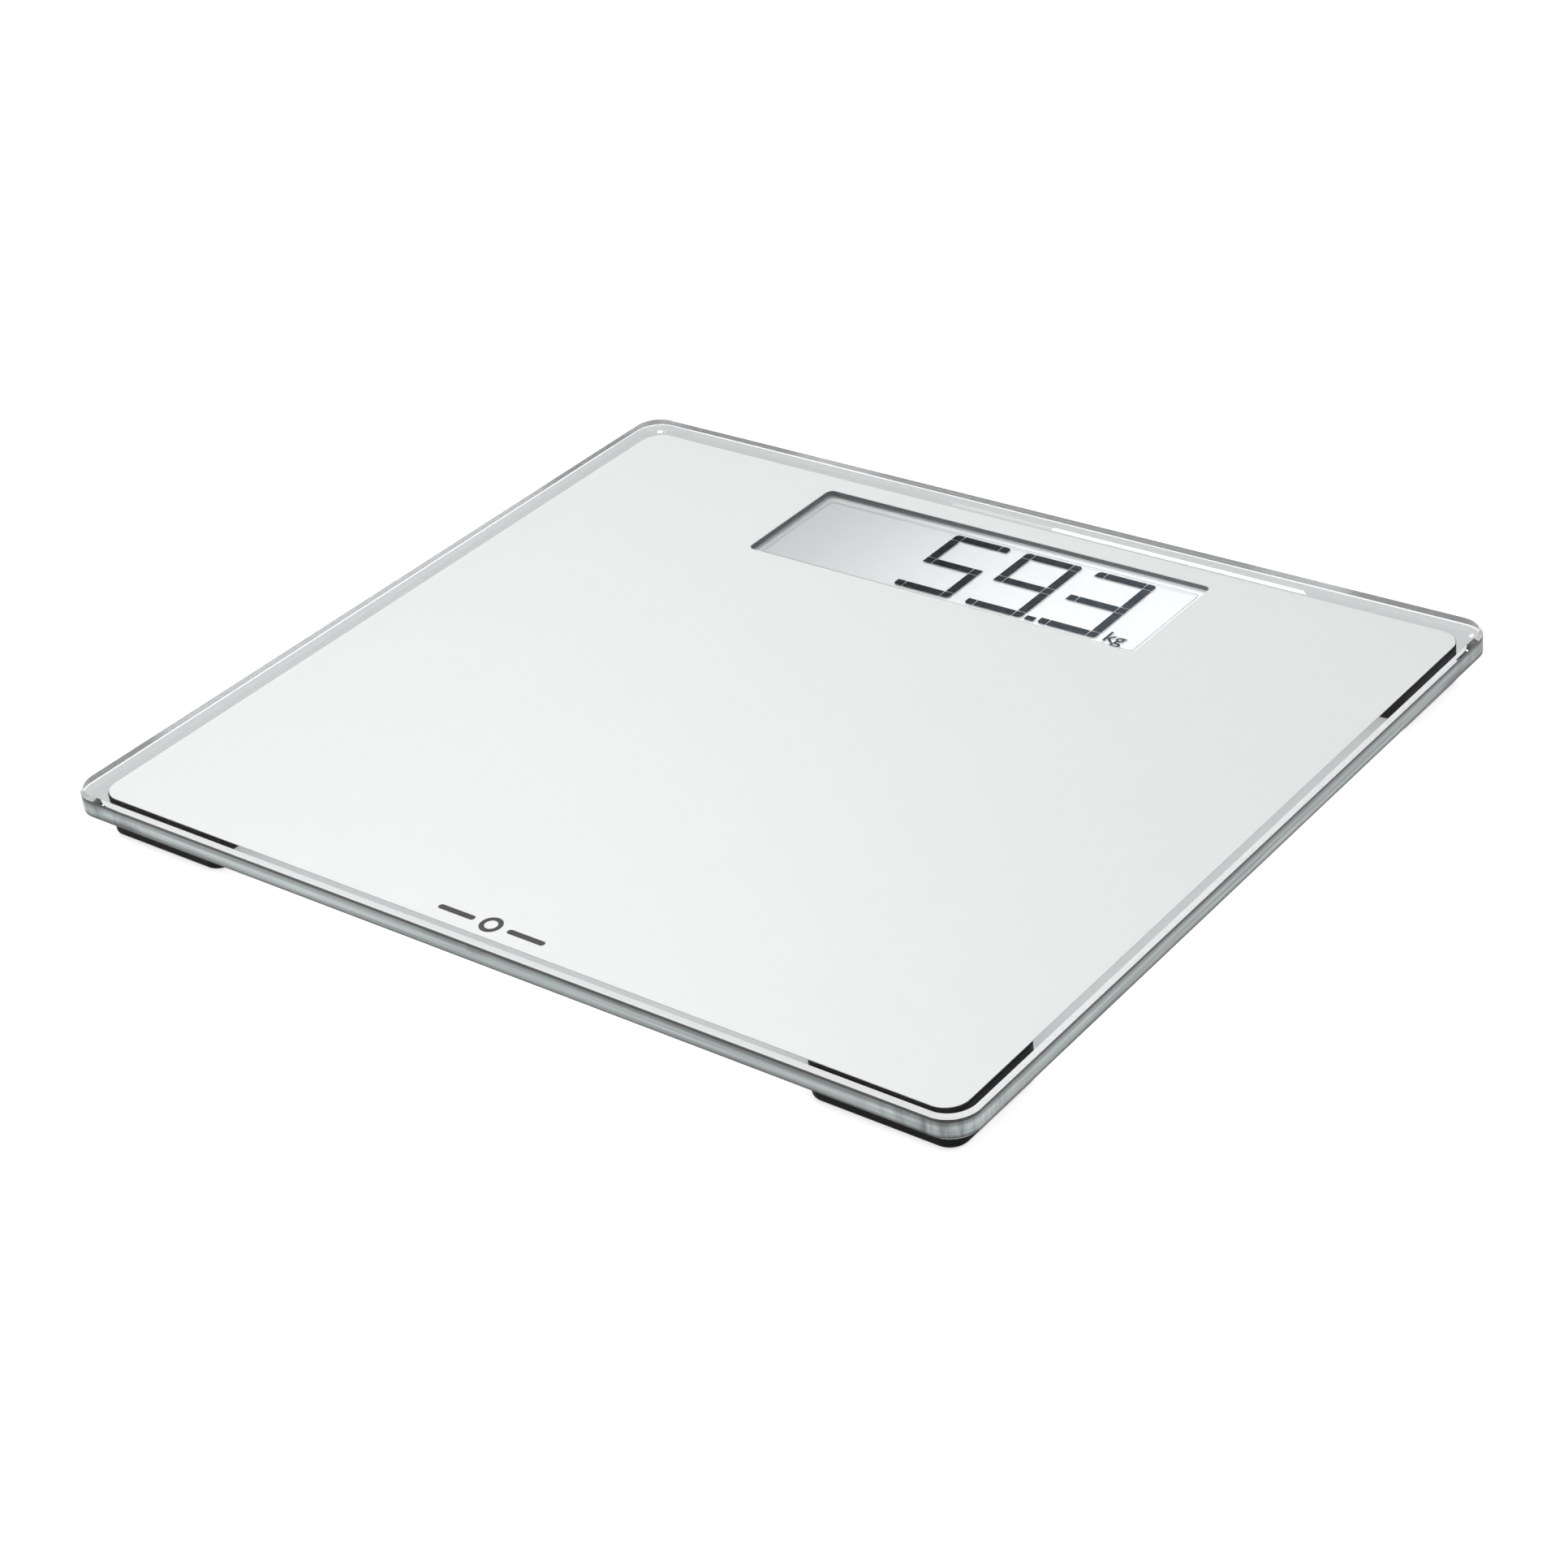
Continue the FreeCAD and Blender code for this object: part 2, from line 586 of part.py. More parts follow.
# Where the cables come through the housing's wall: x, y, and whether the wall faces sideways
CABLE_INLETS = [
    (-INLET_FRONT_X, HOUSING_FRONT, False),
    (INLET_FRONT_X, HOUSING_FRONT, False),
    (-HOUSING_X / 2, INLET_SIDE_Y, True),
    (HOUSING_X / 2, INLET_SIDE_Y, True),
]

export("glass_platform", glass_platform())
export("backing_print", backing_print())
display_stack()
export("circuit_board", circuit_board())
export("board_screws", board_screws())
export("control_chip", control_chip())
export("board_components", board_components())
export("unit_switch", unit_switch())
export("unit_button", unit_button())
export("electronics_housing", electronics_housing())
export("housing_tape", housing_tape())
export("battery_cover", battery_cover())
battery_bay()

tapes = []
gauges = []
screws = []
for foot, side_x, side_y in FEET:
    x = side_x * FOOT_MID_X
    y = side_y * FOOT_MID_Y
    export("foot_mount_" + foot, moved(foot_mount(side_y), x, y))
    export("foot_cap_" + foot, moved(foot_cap(side_y), x, y))
    export("foot_pad_" + foot, moved(foot_pad(), x, y))
    export("load_cell_" + foot, moved(load_cell(), x, y))
    export("sensor_cable_" + foot, cable(cable_route(side_x, side_y)))
    tape = slab(0, 0, FOOT_X - 2, FOOT_Y - 2, MOUNT_TOP, PRINT_LOW, FOOT_CORNER_R - 1)
    half = NOTCH_X / 2
    tape = tape.cut(block(-half, half, -FOOT_Y, FOOT_Y, MOUNT_TOP - 1, PRINT_LOW + 1))
    tapes.append(moved(tape, x, y))
    gauges.append(moved(strain_gauge(), x, y))
    screws += [moved(screw, x, y) for screw in cell_screws()]
export("foot_tapes", Part.makeCompound(tapes))
export("strain_gauges", Part.makeCompound(gauges))
export("load_cell_screws", Part.makeCompound(screws))
export("cable_clips", cable_clips())
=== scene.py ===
import json
import math

import bmesh
import bpy
from mathutils import Matrix, Vector


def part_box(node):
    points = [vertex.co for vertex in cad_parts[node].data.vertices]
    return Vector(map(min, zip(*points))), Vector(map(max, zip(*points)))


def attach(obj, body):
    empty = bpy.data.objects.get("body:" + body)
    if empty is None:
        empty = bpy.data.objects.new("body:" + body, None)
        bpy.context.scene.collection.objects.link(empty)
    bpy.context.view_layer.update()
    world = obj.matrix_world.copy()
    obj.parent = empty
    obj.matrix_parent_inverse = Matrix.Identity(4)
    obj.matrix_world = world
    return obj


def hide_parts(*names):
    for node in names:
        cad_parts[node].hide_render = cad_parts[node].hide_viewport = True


bl_info = {
    "name": "Glass personal scale",
    "version": (1, 0, 0),
    "blender": (4, 5, 0),
    "location": "View3D > Sidebar > Scale",
    "description": "Builds the looks of a glass personal scale around its packed frame",
    "category": "Object",
}

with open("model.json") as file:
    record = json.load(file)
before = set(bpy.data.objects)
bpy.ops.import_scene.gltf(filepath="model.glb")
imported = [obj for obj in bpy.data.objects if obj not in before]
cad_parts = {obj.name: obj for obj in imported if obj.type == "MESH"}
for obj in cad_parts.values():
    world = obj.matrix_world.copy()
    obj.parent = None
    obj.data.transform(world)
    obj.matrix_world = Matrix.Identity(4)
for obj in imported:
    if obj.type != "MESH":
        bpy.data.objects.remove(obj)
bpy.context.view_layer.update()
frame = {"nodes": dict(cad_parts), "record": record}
MM = 0.001
PRINT_CORNER = 7.5 * MM
FEET = ("front_left", "front_right", "back_left", "back_right")
PLATE_LOW, PLATE_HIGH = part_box("glass_platform")
PRINT_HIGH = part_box("backing_print")[1]
FILM_LOW, FILM_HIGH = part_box("lcd_polariser")
CELL_LOW, CELL_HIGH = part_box("lcd_front_glass")
HOUSING_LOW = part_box("electronics_housing")[0]
COVER_LOW, COVER_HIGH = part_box("battery_cover")


# ---------------------------------------------------------------- what a user would change


class ScaleSizes(bpy.types.PropertyGroup):
    """The sizes of the pieces that are modelled here."""

    glass_corner: bpy.props.FloatProperty(
        name="Glass corner", description="Radius of the platform's corners",
        default=10 * MM, unit="LENGTH"
    )
    glass_chamfer: bpy.props.FloatProperty(
        name="Glass chamfer", description="Width of the ground upper edge",
        default=1.2 * MM, unit="LENGTH"
    )
    glass_low_chamfer: bpy.props.FloatProperty(
        name="Lower chamfer", description="Width of the ground lower edge",
        default=0.5 * MM, unit="LENGTH"
    )
    digit_height: bpy.props.FloatProperty(
        name="Digit height", description="Height of a displayed digit", default=38.4 * MM, unit="LENGTH"
    )
    digit_width: bpy.props.FloatProperty(
        name="Digit width", description="Width of a displayed digit", default=23.0 * MM, unit="LENGTH"
    )
    digit_pitch: bpy.props.FloatProperty(
        name="Digit pitch", description="Distance from one digit to the next",
        default=29.4 * MM, unit="LENGTH"
    )
    digit_stroke: bpy.props.FloatProperty(
        name="Digit stroke", description="Width of a digit's bars", default=3.5 * MM, unit="LENGTH"
    )
    mark_width: bpy.props.FloatProperty(
        name="Mark width", description="Length of the plain mark near the front",
        default=42 * MM, unit="LENGTH"
    )


class ScaleColours(bpy.types.PropertyGroup):
    """The colours of the finishes that show."""

    print_white: bpy.props.FloatVectorProperty(
        name="Print", description="White print behind the glass",
        default=(0.86, 0.865, 0.865), subtype="COLOR"
    )
    digit_dark: bpy.props.FloatVectorProperty(
        name="Digits", description="Dark segments of the display",
        default=(0.008, 0.010, 0.012), subtype="COLOR"
    )
    foot_black: bpy.props.FloatVectorProperty(
        name="Feet", description="Moulded feet", default=(0.0065, 0.0065, 0.007), subtype="COLOR"
    )
    housing_white: bpy.props.FloatVectorProperty(
        name="Housing", description="Electronics housing", default=(0.62, 0.62, 0.60), subtype="COLOR"
    )


# ---------------------------------------------------------------- modelling helpers


def deselect_all():
    if bpy.context.object and bpy.context.object.mode != "OBJECT":
        bpy.ops.object.mode_set(mode="OBJECT")
    bpy.ops.object.select_all(action="DESELECT")


def make_active(piece):
    deselect_all()
    piece.select_set(True)
    bpy.context.view_layer.objects.active = piece


def settle(piece):
    """Puts the piece's place into its mesh, so that its object sits at the origin."""
    make_active(piece)
    bpy.ops.object.transform_apply(location=True, rotation=True, scale=True)


def add_block(name, low, high):
    """A box between two corners."""
    deselect_all()
    low, high = Vector(low), Vector(high)
    bpy.ops.mesh.primitive_cube_add(size=1, location=(low + high) / 2)
    piece = bpy.context.object
    piece.name = name
    piece.scale = high - low
    settle(piece)
    return piece


def pick(piece, mode, test):
    """In edit mode, selects the vertices, edges or faces that pass the test, and nothing else."""
    make_active(piece)
    bpy.ops.object.mode_set(mode="EDIT")
    bpy.ops.mesh.select_mode(type=mode)
    bpy.ops.mesh.select_all(action="DESELECT")
    mesh = bmesh.from_edit_mesh(piece.data)
    items = {"VERT": mesh.verts, "EDGE": mesh.edges, "FACE": mesh.faces}[mode]
    count = 0
    for item in items:
        if test(item):
            item.select_set(True)
            count += 1
    if not count:
        raise RuntimeError(f"{piece.name}: nothing to select")
    mesh.select_flush_mode()
    bmesh.update_edit_mesh(piece.data)


def leave_edit():
    bpy.ops.object.mode_set(mode="OBJECT")


def is_upright(edge):
    a, b = (v.co for v in edge.verts)
    return abs(a.x - b.x) < 1e-6 and abs(a.y - b.y) < 1e-6


def at_height(edge, z):
    return all(abs(v.co.z - z) < 1e-6 for v in edge.verts)


def bevel(piece, test, width, segments):
    pick(piece, "EDGE", test)
    bpy.ops.mesh.bevel(offset=width, offset_type="OFFSET", segments=segments, profile=0.5, affect="EDGES")
    leave_edit()


def smooth_faces(piece, degrees=30):
    make_active(piece)
    bpy.ops.object.shade_smooth_by_angle(angle=math.radians(degrees))


def rounded_slab(name, low, high, corner, segments=12):
    """A plate with rounded upright corners."""
    piece = add_block(name, low, high)
    bevel(piece, is_upright, corner, segments)
    return piece


def copy_piece(piece, name, offset=(0, 0, 0)):
    """A copy with a mesh of its own."""
    twin = piece.copy()
    twin.data = piece.data.copy()
    twin.name = name
    bpy.context.scene.collection.objects.link(twin)
    twin.data.transform(Matrix.Translation(offset))
    return twin


def join_pieces(pieces, name):
    deselect_all()
    for piece in pieces:
        piece.select_set(True)
    bpy.context.view_layer.objects.active = pieces[0]
    if len(pieces) > 1:
        bpy.ops.object.join()
    pieces[0].name = name
    return pieces[0]


def cut(piece, tool):
    """Takes the tool's shape out of the piece."""
    make_active(piece)
    taker = piece.modifiers.new("cut", "BOOLEAN")
    taker.operation = "DIFFERENCE"
    taker.solver = "EXACT"
    taker.object = tool
    bpy.ops.object.modifier_apply(modifier=taker.name)
    bpy.data.objects.remove(tool)


def dress(piece, material):
    piece.data.materials.clear()
    piece.data.materials.append(material)


def place(piece, material, body="root", replaces=()):
    """Gives a finished piece its material, its body and what it stands for."""
    dress(piece, material)
    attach(piece, body)
    if replaces:
        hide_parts(*replaces)


# ---------------------------------------------------------------- shared node groups


def new_group(name, inputs, outputs):
    """A shader node group with named sockets: each is (name, kind, default)."""
    group = bpy.data.node_groups.new(name, "ShaderNodeTree")
    for label, kind, default in inputs:
        socket = group.interface.new_socket(label, in_out="INPUT", socket_type=kind)
        if default is not None:
            socket.default_value = default
    for label, kind in outputs:
        group.interface.new_socket(label, in_out="OUTPUT", socket_type=kind)
    entry = group.nodes.new("NodeGroupInput")
    leave = group.nodes.new("NodeGroupOutput")
    return group, entry, leave


def noise(nodes, links, vector, scale, detail=3.0, rough=0.55):
    node = nodes.new("ShaderNodeTexNoise")
    node.inputs["Detail"].default_value = detail
    node.inputs["Roughness"].default_value = rough
    if isinstance(scale, (int, float)):
        node.inputs["Scale"].default_value = scale
    else:
        links.new(scale, node.inputs["Scale"])
    links.new(vector, node.inputs["Vector"])
    return node.outputs["Fac"]


def maths(nodes, links, operation, a, b=None, c=None):
    node = nodes.new("ShaderNodeMath")
    node.operation = operation
    for socket, value in zip(node.inputs, (a, b, c)):
        if value is None:
            continue
        if isinstance(value, (int, float)):
            socket.default_value = value
        else:
            links.new(value, socket)
    return node.outputs[0]


def blend_colours(nodes, links, mask, first, second):
    node = nodes.new("ShaderNodeMix")
    node.data_type = "RGBA"
    links.new(mask, node.inputs["Factor"])
    for socket, value in ((node.inputs["A"], first), (node.inputs["B"], second)):
        if isinstance(value, tuple):
            socket.default_value = (*value, 1.0)
        else:
            links.new(value, socket)
    return node.outputs["Result"]


def ramp(nodes, links, value, stops):
    """A grey that follows the value through the stops."""
    node = nodes.new("ShaderNodeValToRGB")
    band = node.color_ramp
    while len(band.elements) < len(stops):
        band.elements.new(1.0)
    for element, (position, grey) in zip(band.elements, stops):
        element.position = position
        element.color = (grey, grey, grey, 1)
    links.new(value, node.inputs["Fac"])
    return node.outputs["Color"]


def between(nodes, links, value, low, high, smooth=False):
    """How far the value is on its way from low to high, from 0 to 1."""
    node = nodes.new("ShaderNodeMapRange")
    node.interpolation_type = "SMOOTHSTEP" if smooth else "LINEAR"
    node.inputs["From Min"].default_value = low
    node.inputs["From Max"].default_value = high
    links.new(value, node.inputs["Value"])
    return node.outputs["Result"]


def axes(nodes, links, vector):
    """The X, Y and Z of a vector."""
    node = nodes.new("ShaderNodeSeparateXYZ")
    links.new(vector, node.inputs[0])
    return node.outputs


def stretched(nodes, links, vector, scale):
    node = nodes.new("ShaderNodeMapping")
    node.inputs["Scale"].default_value = scale
    links.new(vector, node.inputs["Vector"])
    return node.outputs["Vector"]


GRAIN_IN = [
    ("Vector", "NodeSocketVector", None),
    ("Light", "NodeSocketColor", (0.8, 0.8, 0.8, 1)),
    ("Dark", "NodeSocketColor", (0.7, 0.7, 0.7, 1)),
    ("Scale", "NodeSocketFloat", 2500.0),
    ("Roughness", "NodeSocketFloat", 0.45),
    ("Spread", "NodeSocketFloat", 0.1),
]
GRAIN_OUT = [
    ("Color", "NodeSocketColor"),
    ("Roughness", "NodeSocketFloat"),
    ("Height", "NodeSocketFloat"),
]


def grain_outputs(group, entry, leave, fine, slow, share):
    """Mixes a fine pattern with a slow one, and gives the group's colour, roughness and height."""
    nodes, links = group.nodes, group.links
    rest = maths(nodes, links, "MULTIPLY", slow, 1.0 - share)
    mask = maths(nodes, links, "MULTIPLY_ADD", fine, share, rest)
    colour = blend_colours(nodes, links, mask, entry.outputs["Dark"], entry.outputs["Light"])
    centred = maths(nodes, links, "SUBTRACT", mask, 0.5)
    rough = maths(nodes, links, "MULTIPLY_ADD", centred, entry.outputs["Spread"], entry.outputs["Roughness"])
    links.new(colour, leave.inputs["Color"])
    links.new(rough, leave.inputs["Roughness"])
    links.new(fine, leave.inputs["Height"])
    return group


def moulded_grain():
    """Fine moulded texture with slow mottling, for plastics, rubber and print."""
    group, entry, leave = new_group("moulded_grain", GRAIN_IN, GRAIN_OUT)
    nodes, links = group.nodes, group.links
    vector = entry.outputs["Vector"]
    fine = noise(nodes, links, vector, entry.outputs["Scale"], 4.0)
    slow = noise(nodes, links, vector, 60.0, 2.0)
    return grain_outputs(group, entry, leave, fine, slow, 0.55)


def brushed_lines():
    """Long fine lines along X with slow mottling, for ground and rolled metal."""
    group, entry, leave = new_group("brushed_lines", GRAIN_IN, GRAIN_OUT)
    nodes, links = group.nodes, group.links
    drawn_out = stretched(nodes, links, entry.outputs["Vector"], (0.04, 1.0, 1.0))
    lines = noise(nodes, links, drawn_out, entry.outputs["Scale"], 5.0, 0.65)
    slow = noise(nodes, links, entry.outputs["Vector"], 90.0, 2.0)
    return grain_outputs(group, entry, leave, lines, slow, 0.7)


# ---------------------------------------------------------------- materials

MATERIALS = {}


def start_material(name):
    """A new node material: its nodes, its links, its shader and its object coordinates."""
    material = bpy.data.materials.new(name)
    material.use_nodes = True
    nodes, links = material.node_tree.nodes, material.node_tree.links
    shader = next(n for n in nodes if n.type == "BSDF_PRINCIPLED")
    coords = nodes.new("ShaderNodeTexCoord")
    MATERIALS[name] = material
    return material, nodes, links, shader, coords.outputs["Object"]


def add_bump(nodes, links, shader, height, strength, distance):
    bump = nodes.new("ShaderNodeBump")
    bump.inputs["Strength"].default_value = strength
    bump.inputs["Distance"].default_value = distance
    links.new(height, bump.inputs["Height"])
    links.new(bump.outputs["Normal"], shader.inputs["Normal"])


def grained(name, group, light, dark, scale, rough, spread, bump=0.0, depth=0.05 * MM, **plain):
    """A finish from one of the shared groups. What is the same all over goes on the shader itself."""
    material, nodes, links, shader, coords = start_material(name)
    grain = nodes.new("ShaderNodeGroup")
    grain.node_tree = group
    links.new(coords, grain.inputs["Vector"])
    grain.inputs["Light"].default_value = (*light, 1)
    grain.inputs["Dark"].default_value = (*dark, 1)
    grain.inputs["Scale"].default_value = scale
    grain.inputs["Roughness"].default_value = rough
    grain.inputs["Spread"].default_value = spread
    links.new(grain.outputs["Color"], shader.inputs["Base Color"])
    links.new(grain.outputs["Roughness"], shader.inputs["Roughness"])
    if bump:
        add_bump(nodes, links, shader, grain.outputs["Height"], bump, depth)
    for socket, value in plain.items():
        shader.inputs[socket.replace("_", " ")].default_value = value
    return material


def shaded(colour, factor):
    return tuple(min(1.0, c * factor) for c in colour)


def let_lamps_through(material, nodes, links, shader, tint):
    """Lets shadow rays and soft light pass straight through clear glass."""
    path = nodes.new("ShaderNodeLightPath")
    either = maths(nodes, links, "MAXIMUM", path.outputs["Is Shadow Ray"], path.outputs["Is Diffuse Ray"])
    clear = nodes.new("ShaderNodeBsdfTransparent")
    clear.inputs["Color"].default_value = (*tint, 1)
    mix = nodes.new("ShaderNodeMixShader")
    out = next(n for n in nodes if n.type == "OUTPUT_MATERIAL")
    links.new(either, mix.inputs[0])
    links.new(shader.outputs[0], mix.inputs[1])
    links.new(clear.outputs[0], mix.inputs[2])
    links.new(mix.outputs[0], out.inputs["Surface"])


def glass_finish(name, light, dark, rough, ior, tint):
    """Clear glass with a trace of unevenness in its tint and polish."""
    material, nodes, links, shader, coords = start_material(name)
    slow = noise(nodes, links, coords, 25.0, 2.0)
    colour = blend_colours(nodes, links, slow, dark, light)
    links.new(colour, shader.inputs["Base Color"])
    links.new(maths(nodes, links, "MULTIPLY", slow, rough), shader.inputs["Roughness"])
    shader.inputs["IOR"].default_value = ior
    shader.inputs["Transmission Weight"].default_value = 1.0
    let_lamps_through(material, nodes, links, shader, tint)
    return material


# Painted shade and reflection on the ground side against its height: low edge, middle, high edge. The dark
# lines near both edges and the paler bands between stand in for the light and shade seen in the glass.
SIDE_PAINTED_SHADE_BANDS = (
    (0.00, 0.003),
    (0.10, 0.003),
    (0.16, 0.030),
    (0.24, 0.110),
    (0.34, 0.250),
    (0.52, 0.240),
    (0.66, 0.115),
    (0.76, 0.060),
    (0.80, 0.080),
    (0.845, 0.010),
    (0.87, 0.0003),
    (0.98, 0.0003),
)


# the glass's own grey-green tone, which also colours the painted side shade
SIDE_TONE = (0.80, 1.0, 0.99)  # grey-green
# painted shade: the grey given to the underside outside the print stands in for the shadowed floor seen
# through the clear border
BORDER_PAINTED_SHADE = (0.30, 0.325, 0.33)  # how much the underside lets through outside the print
# The product of the distances from the two middle lines, in square metres: it is largest at the corners
CORNER_STARTS, CORNER_FULL = 0.0195, 0.0245


def painted_side_shade_streaks(nodes, links, coords, corner):
    """How strong the side's painted shade is: long streaks along it, and upright ones at the corners."""
    along = noise(nodes, links, stretched(nodes, links, coords, (9, 9, 700)), 1.0, 4.0, 0.6)
    across = noise(nodes, links, stretched(nodes, links, coords, (260, 260, 40)), 1.0, 3.0, 0.6)
    long_streaks = between(nodes, links, along, 0.32, 0.68)
    cross_streaks = between(nodes, links, across, 0.35, 0.65)
    strength = maths(nodes, links, "MULTIPLY_ADD", long_streaks, 1.5, 0.2)
    at_corner = maths(nodes, links, "MULTIPLY_ADD", cross_streaks, 1.3, 0.15)
    change = maths(nodes, links, "SUBTRACT", at_corner, 1.0)
    blend = maths(nodes, links, "MULTIPLY_ADD", change, corner, 1.0)
    return maths(nodes, links, "MULTIPLY", strength, blend)


def outside_print(nodes, links, far_x, far_y):
    """1 outside the print, whose corners are rounded, and 0 over it."""
    past = []
    for far, edge in ((far_x, PRINT_HIGH.x), (far_y, PRINT_HIGH.y)):
        beyond = maths(nodes, links, "SUBTRACT", far, edge - PRINT_CORNER)
        past.append(maths(nodes, links, "MAXIMUM", beyond, 0.0))
    squares = maths(nodes, links, "MULTIPLY", past[1], past[1])
    squares = maths(nodes, links, "MULTIPLY_ADD", past[0], past[0], squares)
    return maths(nodes, links, "GREATER_THAN", squares, PRINT_CORNER**2)


def platform_glass(name, side_low, side_high):
    """Clear plate glass. Its sides get painted shade and reflection: a grey-green tint in streaked bands,
    with painted dark lines along their edges. Outside the print its underside gets a painted grey shade.
    """
    material, nodes, links, shader, coords = start_material(name)
    slow = noise(nodes, links, coords, 25.0, 2.0)
    clear = blend_colours(nodes, links, slow, (0.985, 0.993, 0.991), (0.992, 0.997, 0.996))
    place_of = axes(nodes, links, coords)
    facing = axes(nodes, links, coords.node.outputs["Normal"])
    upright = maths(nodes, links, "LESS_THAN", maths(nodes, links, "ABSOLUTE", facing["Z"]), 0.4)
    height = between(nodes, links, place_of["Z"], side_low, side_high)
    far_x = maths(nodes, links, "ABSOLUTE", place_of["X"])
    far_y = maths(nodes, links, "ABSOLUTE", place_of["Y"])
    product = maths(nodes, links, "MULTIPLY", far_x, far_y)
    corner = between(nodes, links, product, CORNER_STARTS, CORNER_FULL, True)
    # painted shade and reflection on the sides, banded by height and streaked
    painted_side_tone = nodes.new("ShaderNodeVectorMath")
    painted_side_tone.operation = "MULTIPLY"
    links.new(ramp(nodes, links, height, SIDE_PAINTED_SHADE_BANDS), painted_side_tone.inputs[0])
    painted_side_tone.inputs[1].default_value = SIDE_TONE
    painted_side_colour = nodes.new("ShaderNodeVectorMath")
    painted_side_colour.operation = "SCALE"
    links.new(painted_side_tone.outputs[0], painted_side_colour.inputs[0])
    links.new(painted_side_shade_streaks(nodes, links, coords, corner), painted_side_colour.inputs["Scale"])
    # painted shade on the underside outside the print, standing in for the shadowed floor below
    below = maths(nodes, links, "LESS_THAN", place_of["Z"], side_low + 0.1 * MM)
    painted_border_shade = maths(nodes, links, "MULTIPLY", outside_print(nodes, links, far_x, far_y), below)
    flat = blend_colours(nodes, links, painted_border_shade, clear, BORDER_PAINTED_SHADE)
    links.new(blend_colours(nodes, links, upright, flat, painted_side_colour.outputs[0]), shader.inputs["Base Color"])
    ground = maths(nodes, links, "MULTIPLY_ADD", upright, 0.35, maths(nodes, links, "MULTIPLY", slow, 0.002))
    links.new(ground, shader.inputs["Roughness"])
    shader.inputs["IOR"].default_value = 1.52
    shader.inputs["Transmission Weight"].default_value = 1.0
    let_lamps_through(material, nodes, links, shader, (0.985, 0.99, 0.99))
    return material


def silver_with_painted_glow(name):
    """Satin silver of the display with a fine sparkle. Its colour is painted brighter towards the digits'
    end as a painted reflection, and it has a painted glow in its emission, stronger towards that end.
    """
    material, nodes, links, shader, coords = start_material(name)
    fine = noise(nodes, links, coords, 3800.0, 3.0, 0.7)
    # painted reflection: the silver is painted brighter towards the digits' end
    along = between(nodes, links, axes(nodes, links, coords)["X"], -85 * MM, 45 * MM, True)
    silver_with_painted_sheen = blend_colours(nodes, links, along, (0.80, 0.805, 0.815), (0.95, 0.95, 0.955))
    # painted glow: the silver gives off light though it is no lamp
    glow = blend_colours(nodes, links, along, (0.08, 0.08, 0.082), (0.47, 0.47, 0.475))
    links.new(glow, shader.inputs["Emission Color"])
    shader.inputs["Emission Strength"].default_value = 1.0
    grainy = blend_colours(nodes, links, fine, (0.82, 0.82, 0.82), (1.0, 1.0, 1.0))
    mixed = nodes.new("ShaderNodeMix")
    mixed.data_type = "RGBA"
    mixed.blend_type = "MULTIPLY"
    mixed.inputs["Factor"].default_value = 1.0
    links.new(silver_with_painted_sheen, mixed.inputs["A"])
    links.new(grainy, mixed.inputs["B"])
    links.new(mixed.outputs["Result"], shader.inputs["Base Color"])
    links.new(maths(nodes, links, "MULTIPLY_ADD", fine, 0.15, 0.38), shader.inputs["Roughness"])
    return material


# how much paler the digits are painted at their right end: a painted reflection
RIGHT_END_PAINTED_SHEEN = 9


def digit_finish(name, colour):
    """Dark display segments, painted a little paler towards the right as a painted reflection, following the
    painted brightening of the silver there.
    """
    material, nodes, links, shader, coords = start_material(name)
    along = between(nodes, links, axes(nodes, links, coords)["X"], -15 * MM, 65 * MM)
    fine = noise(nodes, links, coords, 4200.0, 2.0)
    mask = maths(nodes, links, "MULTIPLY_ADD", fine, 0.12, along)
    # painted reflection: the colour the digits are painted towards at their right end
    pale = tuple(c * RIGHT_END_PAINTED_SHEEN for c in colour)
    links.new(blend_colours(nodes, links, mask, tuple(colour), pale), shader.inputs["Base Color"])
    shader.inputs["Roughness"].default_value = 0.5
    shader.inputs["Specular IOR Level"].default_value = 0.0
    return material


def striped_rubber(name):
    """The connector strip: thin dark conducting layers between pale ones."""
    material, nodes, links, shader, coords = start_material(name)
    wave = nodes.new("ShaderNodeTexWave")
    wave.bands_direction = "X"
    wave.inputs["Scale"].default_value = 1600.0
    links.new(coords, wave.inputs["Vector"])
    stripes = blend_colours(nodes, links, wave.outputs["Fac"], (0.08, 0.08, 0.08), (0.72, 0.70, 0.62))
    links.new(stripes, shader.inputs["Base Color"])
    shader.inputs["Roughness"].default_value = 0.7
    return material


def board_mask(name):
    """Green solder mask over tracks that run square to each other."""
    material, nodes, links, shader, coords = start_material(name)
    tracks = nodes.new("ShaderNodeTexBrick")
    tracks.inputs["Scale"].default_value = 180.0
    tracks.inputs["Mortar Size"].default_value = 0.06
    tracks.inputs["Color1"].default_value = (0.010, 0.085, 0.030, 1)
    tracks.inputs["Color2"].default_value = (0.014, 0.110, 0.040, 1)
    tracks.inputs["Mortar"].default_value = (0.040, 0.190, 0.075, 1)
    links.new(coords, tracks.inputs["Vector"])
    links.new(tracks.outputs["Color"], shader.inputs["Base Color"])
    shader.inputs["Roughness"].default_value = 0.32
    add_bump(nodes, links, shader, tracks.outputs["Fac"], 0.4, 0.04 * MM)
    return material


